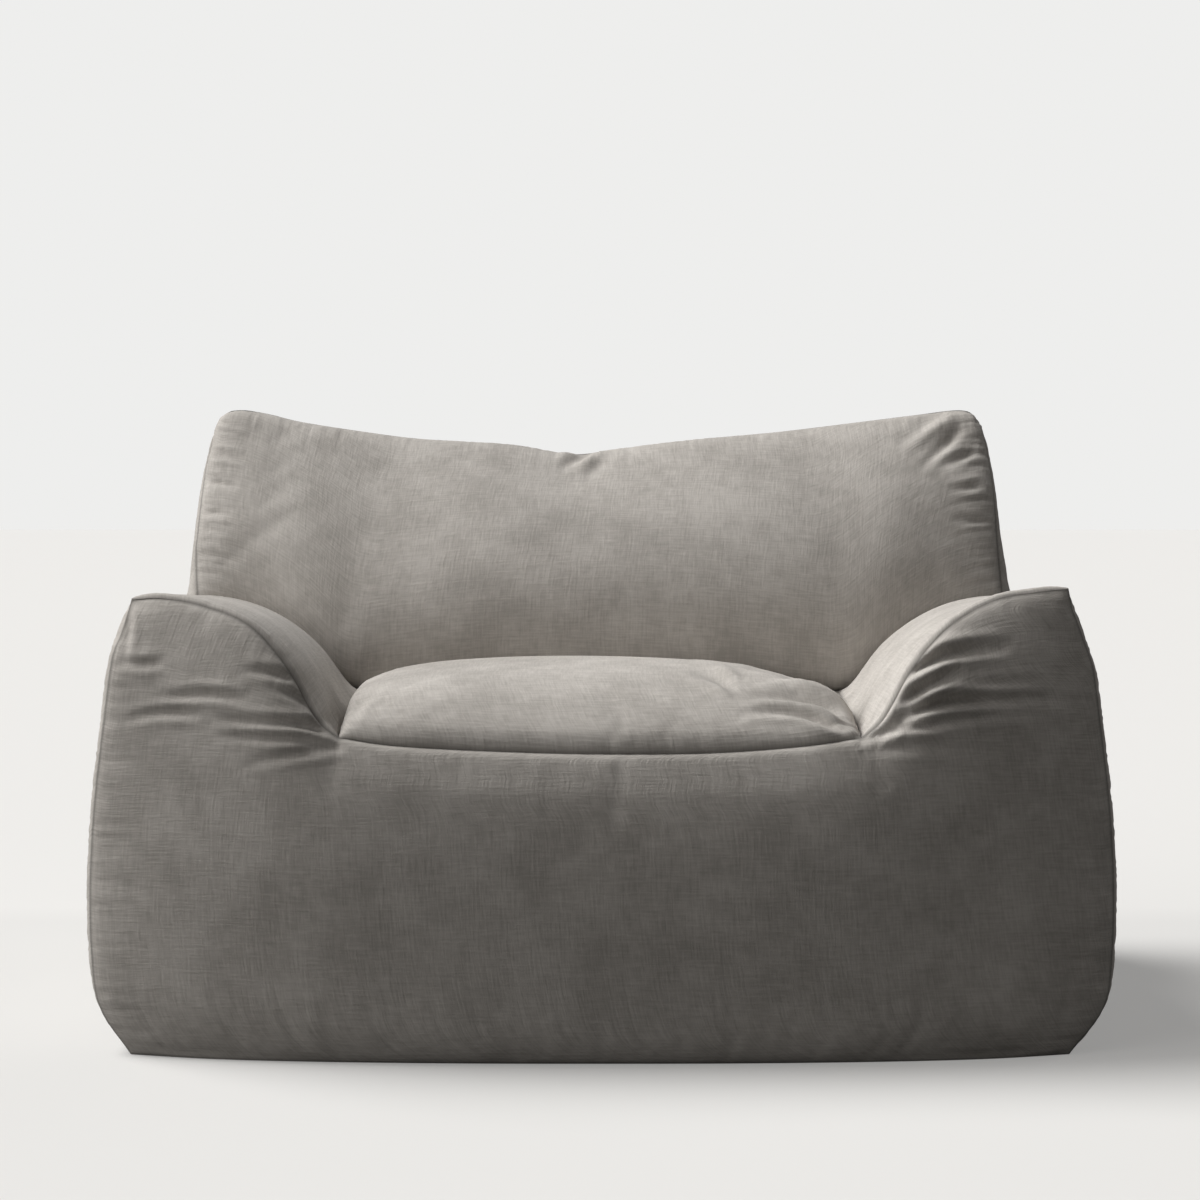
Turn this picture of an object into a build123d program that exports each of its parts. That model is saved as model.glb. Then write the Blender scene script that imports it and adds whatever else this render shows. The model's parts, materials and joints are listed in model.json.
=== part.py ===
"""Wide bean bag chair: sewn fabric cover, four filled inner bags and a rear zip.

Millimetres. X runs across the chair (+X is on the right of somebody who looks at the
front), the front faces -Y, +Z is up. The origin is on the floor under the middle of the
chair. Shapes that nest in each other are one family: each is made by a function of
`inset`, the distance that it lies inside the outer face of the cover.
"""

import os

from build123d import *

# ---------------------------------------------------------------- driving dimensions
WIDTH = 1370.0              # across the widest level of the base
DEPTH = 960.0               # front to rear at the widest level
HEIGHT = 848.0              # floor to the top corners of the backrest
BELLY_HEIGHT = 200.0        # level where the base is widest
SEAT_HEIGHT = 400.0         # seam between the front panel and the seat
SEAT_WIDTH = 680.0          # between the two arms
CROWN_RISE = 100.0          # the seat swells this far above its front seam
CROWN_SHOULDER = 0.55       # share of that swell beside the arms
CROWN_PEAK = -160.0         # the seat is highest this far from the middle, front to rear
CROWN_LAP = 5.0             # the round of the seat's front edge starts this far in front of the wall
CROWN_SINK = 14.0           # and this far below the seat seam
ARM_HEIGHT = 590.0          # top of the arms
ARM_TOP_HALF = 600.0        # middle of the chair to the crest of an arm
BACK_SAG = 66.0             # the top of the backrest dips this far in the middle
BACK_FOOT = 120.0           # front of the backrest at seat level, behind the middle
BACK_LEAN = 228.0           # the front of the backrest leans back this far up to its top
BACK_SWELL = 26.0           # and swells forward this far between the two

FLOOR_TUCK_SIDE = 88.0      # the walls tuck in to the floor: sides
FLOOR_TUCK_FRONT = 46.0     # front
FLOOR_TUCK_REAR = 36.0      # rear
ARM_TUCK_SIDE = 80.0        # and above the belly they lean in, up to arm height: sides
ARM_TUCK_FRONT = 62.0       # front
ARM_TUCK_REAR = 24.0        # rear
TOP_TUCK_SIDE = 30.0        # further tuck from arm height to the top: sides
TOP_TUCK_REAR = 60.0        # rear
SIDE_BOW = 25.0             # the walls bow outwards in plan: sides
FRONT_BOW = 40.0            # front (the rear is straight, for the zip)
CORNER_RADIUS = 110.0       # upright edges in plan
CORNER_SHARE = 0.29         # share of that radius from a face to the middle of the round

FABRIC = 2.0                # cover fabric
SEAM_GAP = 0.6              # between the edges of two cover panels
BAG_ROOM = 4.0              # between the cover and the inner bags
LINER = 1.0                 # inner bag fabric
FILL_GAP = 1.0              # between an inner bag and its fill

ZIP_LENGTH = 900.0          # between the two stops
ZIP_HEIGHT = BELLY_HEIGHT   # the zip lies where the rear wall stands upright
ZIP_MOUTH = 7.0             # between the two rear panels along the zip
TAPE_WIDTH = 14.0
TAPE_THICKNESS = 0.8
TAPE_TAIL = 14.0            # tape beyond each stop
COIL_PITCH_GAP = 2.2        # between the two rows of coil
COIL_HEIGHT = 1.8
COIL_DEPTH = 2.0
STOP_LENGTH = 5.0
SLIDER_LENGTH = 16.0
SLIDER_WIDTH = 10.0
SLIDER_PLATE = 1.2
SLIDER_CLEARANCE = 0.4      # slider to coil and tape
PIN_DIAMETER = 1.6
LUG_THICKNESS = 1.4
PIN_LIFT = 2.2              # outer plate of the slider to the axis of the pin
TAB_LENGTH = 30.0
TAB_WIDTH = 8.0
TAB_THICKNESS = 1.4
TAB_EYE = 3.6               # outer diameter of the tab's eye
TAB_CLEARANCE = 0.3

LINER_ZIP_WIDTH = 12.0
LINER_ZIP_THICKNESS = 1.0
LINER_ZIP_LONG = 500.0      # base and backrest bags
LINER_ZIP_SHORT = 260.0     # arm bags

LABEL_WIDTH = 46.0
LABEL_HEIGHT = 30.0
LABEL_THICKNESS = 0.6

# ---------------------------------------------------------------- worked-out places
BAG_INSET = FABRIC + BAG_ROOM
LINER_INSET = BAG_INSET + LINER
FILL_INSET = LINER_INSET + FILL_GAP
SPLIT_GAP = BAG_ROOM                    # between the base bag and the bags on it
SPLIT_TOP = SEAT_HEIGHT                 # the arm and backrest bags start here
ARM_ROUND_X = ARM_TOP_HALF - SEAT_WIDTH / 2
ARM_ROUND_Z = ARM_HEIGHT - SEAT_HEIGHT
REAR_FACE = DEPTH / 2
FAR = WIDTH + DEPTH                     # longer than anything in the model


# ---------------------------------------------------------------- families of shapes
def wall_tuck(z):
    """How far the side, front and rear walls lie inside the belly at level z."""
    if z < BELLY_HEIGHT:
        share = (1 - z / BELLY_HEIGHT) ** 3
        return FLOOR_TUCK_SIDE * share, FLOOR_TUCK_FRONT * share, FLOOR_TUCK_REAR * share
    if z < ARM_HEIGHT:
        rise = (z - BELLY_HEIGHT) / (ARM_HEIGHT - BELLY_HEIGHT)
        share = rise * rise * (3 - 2 * rise)
        return ARM_TUCK_SIDE * share, ARM_TUCK_FRONT * share, ARM_TUCK_REAR * share
    share = ((z - ARM_HEIGHT) / (HEIGHT - ARM_HEIGHT)) ** 2
    return ARM_TUCK_SIDE + TOP_TUCK_SIDE * share, ARM_TUCK_FRONT, ARM_TUCK_REAR + TOP_TUCK_REAR * share


def wall_section(z, inset):
    """Plan outline of the chair at level z: bowed sides and front, straight rear."""
    side_tuck, front_tuck, rear_tuck = wall_tuck(z)
    half = WIDTH / 2 - side_tuck - inset
    front = -DEPTH / 2 + front_tuck + inset
    rear = REAR_FACE - rear_tuck - inset
    corner = half - SIDE_BOW
    with BuildSketch(Plane.XY.offset(z)) as sketch:
        with BuildLine():
            ThreePointArc((-corner, front + FRONT_BOW), (0, front), (corner, front + FRONT_BOW))
            ThreePointArc((corner, front + FRONT_BOW), (half, (front + rear) / 2), (corner, rear))
            Line((corner, rear), (-corner, rear))
            ThreePointArc((-corner, rear), (-half, (front + rear) / 2), (-corner, front + FRONT_BOW))
        make_face()
        fillet(sketch.vertices(), CORNER_RADIUS - inset)
    return sketch.sketch.face()


def envelope(inset):
    """The four walls as one barrel, from the floor to above the backrest."""
    low = [0, BELLY_HEIGHT * 0.25, BELLY_HEIGHT * 0.55, BELLY_HEIGHT]
    rise = ARM_HEIGHT - BELLY_HEIGHT
    middle = [BELLY_HEIGHT + rise * share for share in (0.25, 0.5, 0.75, 1.0)]
    high = [ARM_HEIGHT + (HEIGHT - ARM_HEIGHT) * share for share in (0.35, 0.7, 1.05)]
    return loft([wall_section(z, inset) for z in low + middle + high])


def along_y(curves):
    """Solid that runs through the whole chair front to rear, from an X-Z outline."""
    return extrude(Plane.XZ * make_face(curves), FAR / 2, both=True)


def along_x(curves):
    """Solid that runs across the whole chair, from a Y-Z outline."""
    return extrude(Plane.YZ * make_face(curves), FAR / 2, both=True)


def neck(inset):
    """All that lies under the seat seam and under the rounded tops of the arms."""
    seat = SEAT_HEIGHT - inset
    crest = ARM_HEIGHT - inset
    inner = SEAT_WIDTH / 2 + inset
    outer = FAR / 3
    curves = [
        Line((-inner, seat), (inner, seat)),
        Line((-outer, -outer), (outer, -outer)),
    ]
    for side in (-1, 1):
        curves += [
            EllipticalCenterArc(
                (side * ARM_TOP_HALF, seat),
                ARM_ROUND_X - inset,
                ARM_ROUND_Z,
                start_angle=45 + 45 * side,
                arc_size=90,
            ),
            Line((side * ARM_TOP_HALF, crest), (side * outer, crest)),
            Line((side * outer, crest), (side * outer, -outer)),
        ]
    return along_y(curves)


def backrest(inset):
    """The leaning backrest, in front of the rear wall, with its dipping top."""
    foot = BACK_FOOT + inset
    top = BACK_FOOT + BACK_LEAN + inset
    middle = (foot + top) / 2 - BACK_SWELL
    low = SEAT_HEIGHT - CROWN_SINK - 2 * BAG_INSET
    lean = along_x([
        ThreePointArc((foot, SEAT_HEIGHT), (middle, (SEAT_HEIGHT + HEIGHT) / 2), (top, HEIGHT)),
        Polyline((top, HEIGHT), (FAR / 3, HEIGHT), (FAR / 3, low), (foot, low), (foot, SEAT_HEIGHT)),
    ])
    half = WIDTH / 2 - ARM_TUCK_SIDE - TOP_TUCK_SIDE - CORNER_RADIUS * CORNER_SHARE
    side = WIDTH / 2
    corner = HEIGHT - inset
    dip = along_y([
        ThreePointArc((-half, corner), (0, corner - BACK_SAG), (half, corner)),
        Polyline((half, corner), (side, corner), (side, 0), (-side, 0), (-side, corner), (-half, corner)),
    ])
    return lean & dip


def crown(inset):
    """The swelling seat between the arms."""
    foot = SEAT_HEIGHT - CROWN_SINK - BAG_INSET
    top = SEAT_HEIGHT + CROWN_RISE - inset
    half = SEAT_WIDTH / 2 - FABRIC - inset
    shoulder = SEAT_HEIGHT + CROWN_RISE * CROWN_SHOULDER - inset
    front = -DEPTH / 2 + wall_tuck(SEAT_HEIGHT)[1] - CROWN_LAP + inset
    start = SEAT_HEIGHT - CROWN_SINK
    crest = top + CROWN_LAP
    rear = BACK_FOOT + BACK_LEAN
    across = along_y([
        ThreePointArc((-half, shoulder), (0, top), (half, shoulder)),
        Polyline((half, shoulder), (half, foot), (-half, foot), (-half, shoulder)),
    ])
    along = along_x([
        EllipticalCenterArc(
            (CROWN_PEAK, start),
            CROWN_PEAK - front,
            crest - start,
            start_angle=90,
            arc_size=90,
        ),
        Polyline((CROWN_PEAK, crest), (rear, crest), (rear, foot), (front, foot), (front, start)),
    ])
    return across & along


def slab(low, high):
    """Everything between two levels."""
    return Pos(0, 0, low) * Box(FAR, FAR, high - low, align=(Align.CENTER, Align.CENTER, Align.MIN))


def half_space(side, start):
    """Everything on one side (-1 left, +1 right) beyond a distance from the middle."""
    centre = side * (start + FAR / 2)
    return Pos(centre, 0, 0) * Box(FAR, FAR, FAR)


def seam_places(levels):
    """Where the rounded upright edges are met by the front and rear side seams."""
    turn = CORNER_RADIUS * CORNER_SHARE
    front = [-DEPTH / 2 + wall_tuck(z)[1] + FRONT_BOW + turn for z in levels]
    rear = [REAR_FACE - wall_tuck(z)[2] - turn for z in levels]
    return front, rear


def front_zone(shift):
    """In front of the side seams that run down from the front corners of the arms."""
    levels = (0, BELLY_HEIGHT, ARM_HEIGHT)
    foot, belly, ear = (y - shift for y in seam_places(levels)[0])
    top = ARM_HEIGHT + FABRIC
    return along_x([
        ThreePointArc((foot, -FABRIC), (belly, BELLY_HEIGHT * 1.3), (ear, top)),
        Polyline((ear, top), (-DEPTH, top), (-DEPTH, -FABRIC), (foot, -FABRIC)),
    ])


def rear_zone(shift):
    """Behind the side seams that run up to the top corners of the backrest."""
    levels = (0, BELLY_HEIGHT * 1.8, HEIGHT)
    foot, middle, corner = (y + shift for y in seam_places(levels)[1])
    top = HEIGHT + FABRIC
    return along_x([
        ThreePointArc((foot, -FABRIC), (middle, levels[1]), (corner, top)),
        Polyline((corner, top), (DEPTH, top), (DEPTH, -FABRIC), (foot, -FABRIC)),
    ])


# ---------------------------------------------------------------- cover
def cover_walls():
    """Front, side and rear panels: the outer shell of the chair."""
    silhouette = neck(0) + backrest(0) + crown(0)
    shell = (envelope(0) - envelope(FABRIC)) & silhouette
    walls = shell & slab(FABRIC + SEAM_GAP, FAR)
    middle = walls - front_zone(-SEAM_GAP) - rear_zone(-SEAM_GAP)
    rear = walls & rear_zone(0)
    return {
        "front_panel": walls & front_zone(0),
        "left_side_panel": middle & half_space(-1, SEAT_WIDTH / 2),
        "right_side_panel": middle & half_space(1, SEAT_WIDTH / 2),
        "rear_upper_panel": rear & slab(ZIP_HEIGHT + ZIP_MOUTH / 2, FAR),
        "rear_lower_panel": rear & slab(0, ZIP_HEIGHT - ZIP_MOUTH / 2),
    }


def cover_tops():
    """Seat, inner arm and backrest panels, inside the edges of the walls."""
    inside = envelope(FABRIC + SEAM_GAP)
    arms = ((neck(0) - neck(FABRIC)) & inside) - backrest(-SEAM_GAP)
    seat = ((crown(0) - crown(FABRIC)) & inside & slab(SEAT_HEIGHT - FABRIC, FAR)) - backrest(-SEAM_GAP)
    rest = ((backrest(0) - backrest(FABRIC)) & inside) - neck(-SEAM_GAP) - crown(-SEAM_GAP)
    beside_seat = SEAT_WIDTH / 2
    return {
        "seat_panel": seat,
        "left_inner_arm_panel": arms & half_space(-1, beside_seat),
        "right_inner_arm_panel": arms & half_space(1, beside_seat),
        "backrest_panel": rest,
    }


def base_panel():
    """The flat sheet that the chair stands on."""
    return envelope(0) & slab(0, FABRIC)


# ---------------------------------------------------------------- inner bags
def bag_shapes(inset):
    """The four inner bags at one inset: base with the seat crown, backrest, two arms."""
    deeper = inset - BAG_INSET
    walls = envelope(inset)
    above = slab(SPLIT_TOP + deeper, FAR)
    before_back = backrest(-FABRIC - deeper)
    low = slab(inset, SPLIT_TOP - SPLIT_GAP - deeper) + (crown(inset) - before_back)
    arms = (walls & neck(inset) & above) - before_back
    return {
        "base": walls & low,
        "backrest": walls & backrest(inset) & above,
        "left_arm": arms & half_space(-1, SEAT_WIDTH / 2),
        "right_arm": arms & half_space(1, SEAT_WIDTH / 2),
    }


def inner_bags():
    """Each bag is a thin closed liner with its fill inside it."""
    outer = bag_shapes(BAG_INSET)
    inner = bag_shapes(LINER_INSET)
    fills = bag_shapes(FILL_INSET)
    parts = {}
    for name in outer:
        parts[f"{name}_liner"] = outer[name] - inner[name]
        parts[f"{name}_fill"] = fills[name]
    return parts


def liner_zips():
    """Flat zip strips that close the bags, in the gap between the base bag and the rest."""
    level = SPLIT_TOP - SPLIT_GAP / 2
    places = {
        "base_liner_zip": (0, REAR_FACE * 0.75, LINER_ZIP_LONG, LINER_ZIP_WIDTH),
        "backrest_liner_zip": (0, REAR_FACE * 0.5, LINER_ZIP_LONG, LINER_ZIP_WIDTH),
        "left_arm_liner_zip": (-ARM_TOP_HALF * 0.8, -DEPTH / 8, LINER_ZIP_WIDTH, LINER_ZIP_SHORT),
        "right_arm_liner_zip": (ARM_TOP_HALF * 0.8, -DEPTH / 8, LINER_ZIP_WIDTH, LINER_ZIP_SHORT),
    }
    return {
        name: Pos(x, y, level) * Box(size_x, size_y, LINER_ZIP_THICKNESS)
        for name, (x, y, size_x, size_y) in places.items()
    }


# ---------------------------------------------------------------- rear zip
TAPE_OUTER = REAR_FACE - FABRIC - SEAM_GAP          # outer face of the tapes
SLIDER_REST = (ZIP_LENGTH - SLIDER_LENGTH) / 2 - SLIDER_CLEARANCE
PLATE_INNER = REAR_FACE + SLIDER_CLEARANCE          # the outer plate clears the panels
PIN_AXIS = PLATE_INNER + SLIDER_PLATE + PIN_LIFT


def zip_rows():
    """Two tapes behind the edges of the rear panels, and the coil sewn on each."""
    parts = {}
    full = ZIP_LENGTH + 2 * TAPE_TAIL
    for name, side in (("upper", 1), ("lower", -1)):
        tape_z = ZIP_HEIGHT + side * (COIL_PITCH_GAP + TAPE_WIDTH) / 2
        coil_z = ZIP_HEIGHT + side * (COIL_PITCH_GAP + COIL_HEIGHT) / 2
        tape = Box(full, TAPE_THICKNESS, TAPE_WIDTH)
        coil = Box(ZIP_LENGTH, COIL_DEPTH, COIL_HEIGHT)
        parts[f"zip_{name}_tape"] = Pos(0, TAPE_OUTER - TAPE_THICKNESS / 2, tape_z) * tape
        parts[f"zip_{name}_coil"] = Pos(0, TAPE_OUTER + COIL_DEPTH / 2, coil_z) * coil
    return parts


def zip_stops():
    """Metal stops across both coils at the ends of the zip."""
    height = COIL_PITCH_GAP + 2 * COIL_HEIGHT
    parts = {}
    for name, side in (("left", -1), ("right", 1)):
        x = side * (ZIP_LENGTH + STOP_LENGTH) / 2
        stop = Pos(x, TAPE_OUTER + COIL_DEPTH / 2, ZIP_HEIGHT) * Box(STOP_LENGTH, COIL_DEPTH, height)
        parts[f"zip_{name}_stop"] = fillet(stop.edges().filter_by(Axis.Y), COIL_HEIGHT / 3)
    return parts


def slider():
    """Two plates joined by a web that runs between the coils, with lugs and the tab's pin."""
    plate = Box(SLIDER_LENGTH, SLIDER_PLATE, SLIDER_WIDTH)
    plate = fillet(plate.edges().filter_by(Axis.Y), SLIDER_WIDTH / 4)
    inner_face = TAPE_OUTER - TAPE_THICKNESS - SLIDER_CLEARANCE
    outer_plate = Pos(0, PLATE_INNER + SLIDER_PLATE / 2, 0) * plate
    inner_plate = Pos(0, inner_face - SLIDER_PLATE / 2, 0) * plate
    web_depth = PLATE_INNER - inner_face
    web_height = COIL_PITCH_GAP - 2 * SLIDER_CLEARANCE
    web = Pos(0, inner_face + web_depth / 2, 0) * Box(SLIDER_LENGTH / 2, web_depth, web_height)
    body = outer_plate + inner_plate + web
    for side in (-1, 1):
        lug_z = side * (TAB_WIDTH / 4 + TAB_CLEARANCE + LUG_THICKNESS / 2)
        lug_y = PIN_AXIS - PIN_LIFT / 2
        body += Pos(0, lug_y, lug_z) * Box(TAB_EYE, PIN_LIFT, LUG_THICKNESS)
        body += Pos(0, PIN_AXIS, lug_z) * Cylinder(TAB_EYE / 2, LUG_THICKNESS)
    body += Pos(0, PIN_AXIS, 0) * Cylinder(PIN_DIAMETER / 2, TAB_WIDTH / 2 + 2 * LUG_THICKNESS)
    return Pos(SLIDER_REST, 0, ZIP_HEIGHT) * body


def pull_tab():
    """Flat tab with an eye on the slider's pin and a hole near its free end."""
    neck_width = TAB_WIDTH / 2
    eye = Cylinder(TAB_EYE / 2, neck_width)
    shoulder = TAB_EYE * 1.6
    stem = Pos(-shoulder / 2, 0, 0) * Box(shoulder, TAB_THICKNESS, neck_width)
    blade_length = TAB_LENGTH - shoulder
    blade = Pos(-shoulder - blade_length / 2, 0, 0) * Box(blade_length, TAB_THICKNESS, TAB_WIDTH)
    blade = fillet(blade.edges().filter_by(Axis.Y), TAB_WIDTH / 4)
    hole_x = -TAB_LENGTH + TAB_WIDTH * 0.6
    hole = Pos(hole_x, 0, 0) * Rot(90, 0, 0) * Cylinder(TAB_WIDTH / 5, TAB_THICKNESS * 3)
    bore = Cylinder(PIN_DIAMETER / 2 + TAB_CLEARANCE, TAB_WIDTH)
    tab = eye + stem + blade - hole - bore
    return Pos(SLIDER_REST, PIN_AXIS, ZIP_HEIGHT) * tab


def care_label():
    """Blank folded label on the rear, beside the left end of the zip."""
    x = -ZIP_LENGTH / 2
    z = ZIP_HEIGHT - ZIP_MOUTH / 2 - LABEL_HEIGHT / 2 - TAPE_WIDTH
    y = REAR_FACE + SEAM_GAP + LABEL_THICKNESS / 2
    return Pos(x, y, z) * Box(LABEL_WIDTH, LABEL_THICKNESS, LABEL_HEIGHT)


# ---------------------------------------------------------------- write the parts
def main():
    os.makedirs("parts", exist_ok=True)
    parts = {"base_panel": base_panel()}
    parts.update(cover_walls())
    parts.update(cover_tops())
    parts.update(inner_bags())
    parts.update(liner_zips())
    parts.update(zip_rows())
    parts.update(zip_stops())
    parts["zip_slider"] = slider()
    parts["zip_pull_tab"] = pull_tab()
    parts["care_label"] = care_label()
    for name, shape in parts.items():
        export_step(shape, f"parts/{name}.step")
        box = shape.bounding_box()
        print(f"{name:24s} {shape.volume / 1000:12.1f} cm3  z {box.min.Z:7.1f} to {box.max.Z:7.1f}")


main()
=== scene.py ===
import json
import math

import bpy
import numpy as np
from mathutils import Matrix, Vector
from mathutils.bvhtree import BVHTree

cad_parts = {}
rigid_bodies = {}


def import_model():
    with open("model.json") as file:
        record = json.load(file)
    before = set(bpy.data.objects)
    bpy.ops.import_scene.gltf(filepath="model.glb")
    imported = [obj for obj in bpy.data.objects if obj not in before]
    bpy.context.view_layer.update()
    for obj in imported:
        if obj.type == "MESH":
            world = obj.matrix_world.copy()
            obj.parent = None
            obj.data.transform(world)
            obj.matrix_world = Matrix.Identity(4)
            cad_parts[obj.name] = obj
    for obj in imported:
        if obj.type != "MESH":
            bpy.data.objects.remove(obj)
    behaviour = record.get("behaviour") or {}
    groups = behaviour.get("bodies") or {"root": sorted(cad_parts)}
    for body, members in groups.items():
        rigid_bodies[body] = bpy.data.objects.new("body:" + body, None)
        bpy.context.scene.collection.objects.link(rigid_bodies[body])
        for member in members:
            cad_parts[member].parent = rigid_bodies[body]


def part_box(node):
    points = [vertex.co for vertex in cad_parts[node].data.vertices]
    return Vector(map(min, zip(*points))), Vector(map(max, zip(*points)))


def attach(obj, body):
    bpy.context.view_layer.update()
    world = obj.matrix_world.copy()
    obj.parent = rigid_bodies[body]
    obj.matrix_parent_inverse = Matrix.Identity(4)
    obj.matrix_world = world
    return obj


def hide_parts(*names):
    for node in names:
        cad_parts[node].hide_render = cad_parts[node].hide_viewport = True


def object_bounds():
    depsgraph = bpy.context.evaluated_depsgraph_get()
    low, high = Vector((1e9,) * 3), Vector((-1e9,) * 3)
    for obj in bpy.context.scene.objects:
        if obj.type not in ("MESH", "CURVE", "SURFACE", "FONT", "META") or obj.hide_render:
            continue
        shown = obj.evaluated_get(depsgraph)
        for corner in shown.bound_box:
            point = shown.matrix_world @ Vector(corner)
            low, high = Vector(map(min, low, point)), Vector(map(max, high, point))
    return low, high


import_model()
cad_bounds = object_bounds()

# ---------------------------------------------------------------- sizes from the frame, metres
CORNER_RISE = 0.006       # the backrest's corners stand this far above the CAD body
HIGH = np.array(cad_bounds[1])
HALF_WIDTH = HIGH[0]                                  # belly, middle to side
REAR = np.array(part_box("rear_lower_panel")[1])[1]     # rear wall at the zip
TOP = HIGH[2] + CORNER_RISE                           # corners of the backrest
FOOT_LOW, FOOT_HIGH = (np.array(c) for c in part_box("base_panel"))
ARM_TOP = np.array(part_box("left_inner_arm_panel")[1])[2]
SEAT_LOW, SEAT_HIGH = (np.array(c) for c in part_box("seat_panel"))
SEAT_SEAM = SEAT_LOW[2]
SEAT_HALF = SEAT_HIGH[0]
ZIP_HIGH = np.array(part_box("zip_upper_coil")[1])
ZIP_LEVEL = (np.array(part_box("zip_lower_coil")[0])[2] + ZIP_HIGH[2]) / 2

# segments of the coarse cover mesh along each kind of seam
ARM_SEGS = 26          # from the crest of an arm down to the seat
SEAT_SEGS = 50         # across the seat
DEEP_SEGS = 40         # from the front of an arm back to the backrest
LEAN_SEGS = 30         # up the side of the backrest
WALL_SEGS = 46         # from the floor to the top of a wall
REFINE = 3             # finer cover mesh: each segment is divided in this many
WIDE_SEGS = 2 * ARM_SEGS + SEAT_SEGS    # across the whole chair
LONG_SEGS = DEEP_SEGS + LEAN_SEGS       # from front to rear along a side
CALM_ROUNDS = 130      # rounds of smoothing for the lowest row of the front panel


# ---------------------------------------------------------------- curves and patches
def curve_through(points, fractions):
    """Smooth curve through the points, read at these fractions of its length."""
    pts = np.array(points, float)
    padded = np.vstack([2 * pts[0] - pts[1], pts, 2 * pts[-1] - pts[-2]])
    fine = []
    steps = np.linspace(0, 1, 40, endpoint=False)[:, None]
    for a, b, c, d in zip(padded[:-3], padded[1:-2], padded[2:-1], padded[3:]):
        fine.append(0.5 * (2 * b + (c - a) * steps + (2 * a - 5 * b + 4 * c - d) * steps ** 2
                           + (3 * b - a - 3 * c + d) * steps ** 3))
    fine = np.vstack(fine + [pts[-1:]])
    length = np.concatenate([[0], np.cumsum(np.linalg.norm(np.diff(fine, axis=0), axis=1))])
    wanted = np.asarray(fractions) * length[-1]
    return np.stack([np.interp(wanted, length, fine[:, k]) for k in range(3)], axis=1)


def even(count):
    return np.linspace(0, 1, count + 1)


def coons(bottom, top, left, right):
    """Surface between four border curves: rows run from bottom to top, columns left to right."""
    u = even(len(bottom) - 1)[None, :, None]
    v = even(len(left) - 1)[:, None, None]
    across = (1 - v) * bottom[None] + v * top[None]
    along = (1 - u) * left[:, None] + u * right[:, None]
    corners = ((1 - u) * (1 - v) * bottom[0] + u * (1 - v) * bottom[-1]
               + (1 - u) * v * top[0] + u * v * top[-1])
    return across + along - corners


def window(t, power):
    """One in the middle of a span and zero at its ends."""
    return 1 - np.abs(2 * t - 1) ** power


def calmed(grid):
    """Evens each row of the panel out from side to side, more the further it is below the top edge."""
    rows = len(grid)
    for i in range(1, rows - 1):
        row = grid[i]
        for _ in range(int(CALM_ROUNDS * (1 - i / (rows - 1)))):
            row[1:-1] = (row[:-2] + 2 * row[1:-1] + row[2:]) / 4
    return grid


def mirrored(points):
    return [(-x, y, z) for x, y, z in points]


# ---------------------------------------------------------------- seam lines, right side first
FOOT_X = FOOT_HIGH[0]
FOOT_FRONT = FOOT_LOW[1]
FOOT_REAR = FOOT_HIGH[1]
JOIN_Y = 0.186          # where the crest of an arm meets the backrest
CREASE_Y = 0.128        # where the seat meets the backrest
TOP_SEAM_Y = 0.362

# outline of each side (-1 is the left): furthest from the middle at these heights
SIDE_LEVELS = [0.0, 0.20, 0.28, 0.335, 0.40, 0.50, 0.58, 0.66, 0.76, TOP]
LEFT_FOOT = HALF_WIDTH - 0.014
RIGHT_FOOT = HALF_WIDTH - 0.007
SIDE_LIMITS = {
    -1: [LEFT_FOOT, LEFT_FOOT, 0.668, 0.664, 0.660, 0.643, 0.615, 0.608, 0.605, 0.594],
    1: [RIGHT_FOOT, RIGHT_FOOT, 0.673, 0.662, 0.663, 0.640, 0.612, 0.602, 0.599, 0.591],
}


def within(side, points):
    """The points, kept inside the outline of their side of the chair."""
    limit = np.interp(points[..., 2], SIDE_LEVELS, SIDE_LIMITS[side])
    points[..., 0] = side * np.minimum(np.abs(points[..., 0]), limit)
    return points


def ear(side):
    """Front corner of an arm: the left one hangs a little lower."""
    return (side * 0.608, -0.362, ARM_TOP + (0.013 if side > 0 else -0.001))


def pucker(side):
    """Where the seat, the front and the inner arm meet."""
    return (side * 0.333, -0.452, SEAT_SEAM + 0.019)


def crest_end(side):
    return (side * 0.602, JOIN_Y, ARM_TOP - 0.021)


def crease_end(side):
    return (side * 0.352, CREASE_Y, SEAT_SEAM + 0.035)


def back_corner(side):
    return (side * (0.592 if side < 0 else 0.590), TOP_SEAM_Y + 0.003, TOP - 0.020)


def foot_corner(side, front):
    return (side * (FOOT_X + 0.009), -0.390 if front else 0.402, 0.0)


def front_seam(side):
    """From the floor up to the ear."""
    x = HALF_WIDTH
    x -= 0.006 if side < 0 else 0.001
    points = [foot_corner(1, True), (x - 0.030, -0.384, 0.06), (x - 0.018, -0.376, 0.13),
              (x - 0.016, -0.372, 0.22), (x - 0.022, -0.371, 0.32), (x - 0.034, -0.372, 0.42),
              (x - 0.047, -0.372, 0.51), (x - 0.060, -0.368, ARM_TOP - 0.042)]
    points = [(side * px, y, z) for px, y, z in points] + [ear(side)]
    return within(side, curve_through(points, even(WALL_SEGS)))


def rear_seam(side):
    """From the floor up to the top corner of the backrest."""
    x = HALF_WIDTH
    points = [foot_corner(1, False), (x - 0.046, 0.428, 0.06), (x - 0.024, 0.444, 0.13),
              (x - 0.018, 0.450, 0.22), (x - 0.026, 0.452, 0.34), (x - 0.040, 0.450, 0.46),
              (x - 0.060, 0.441, 0.58), (x - 0.074, 0.424, 0.68), (x - 0.084, 0.398, 0.78),
              back_corner(1)]
    if side < 0:
        points = mirrored(points)
    points[-1] = back_corner(side)
    return within(side, curve_through(points, even(WALL_SEGS)))


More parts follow.
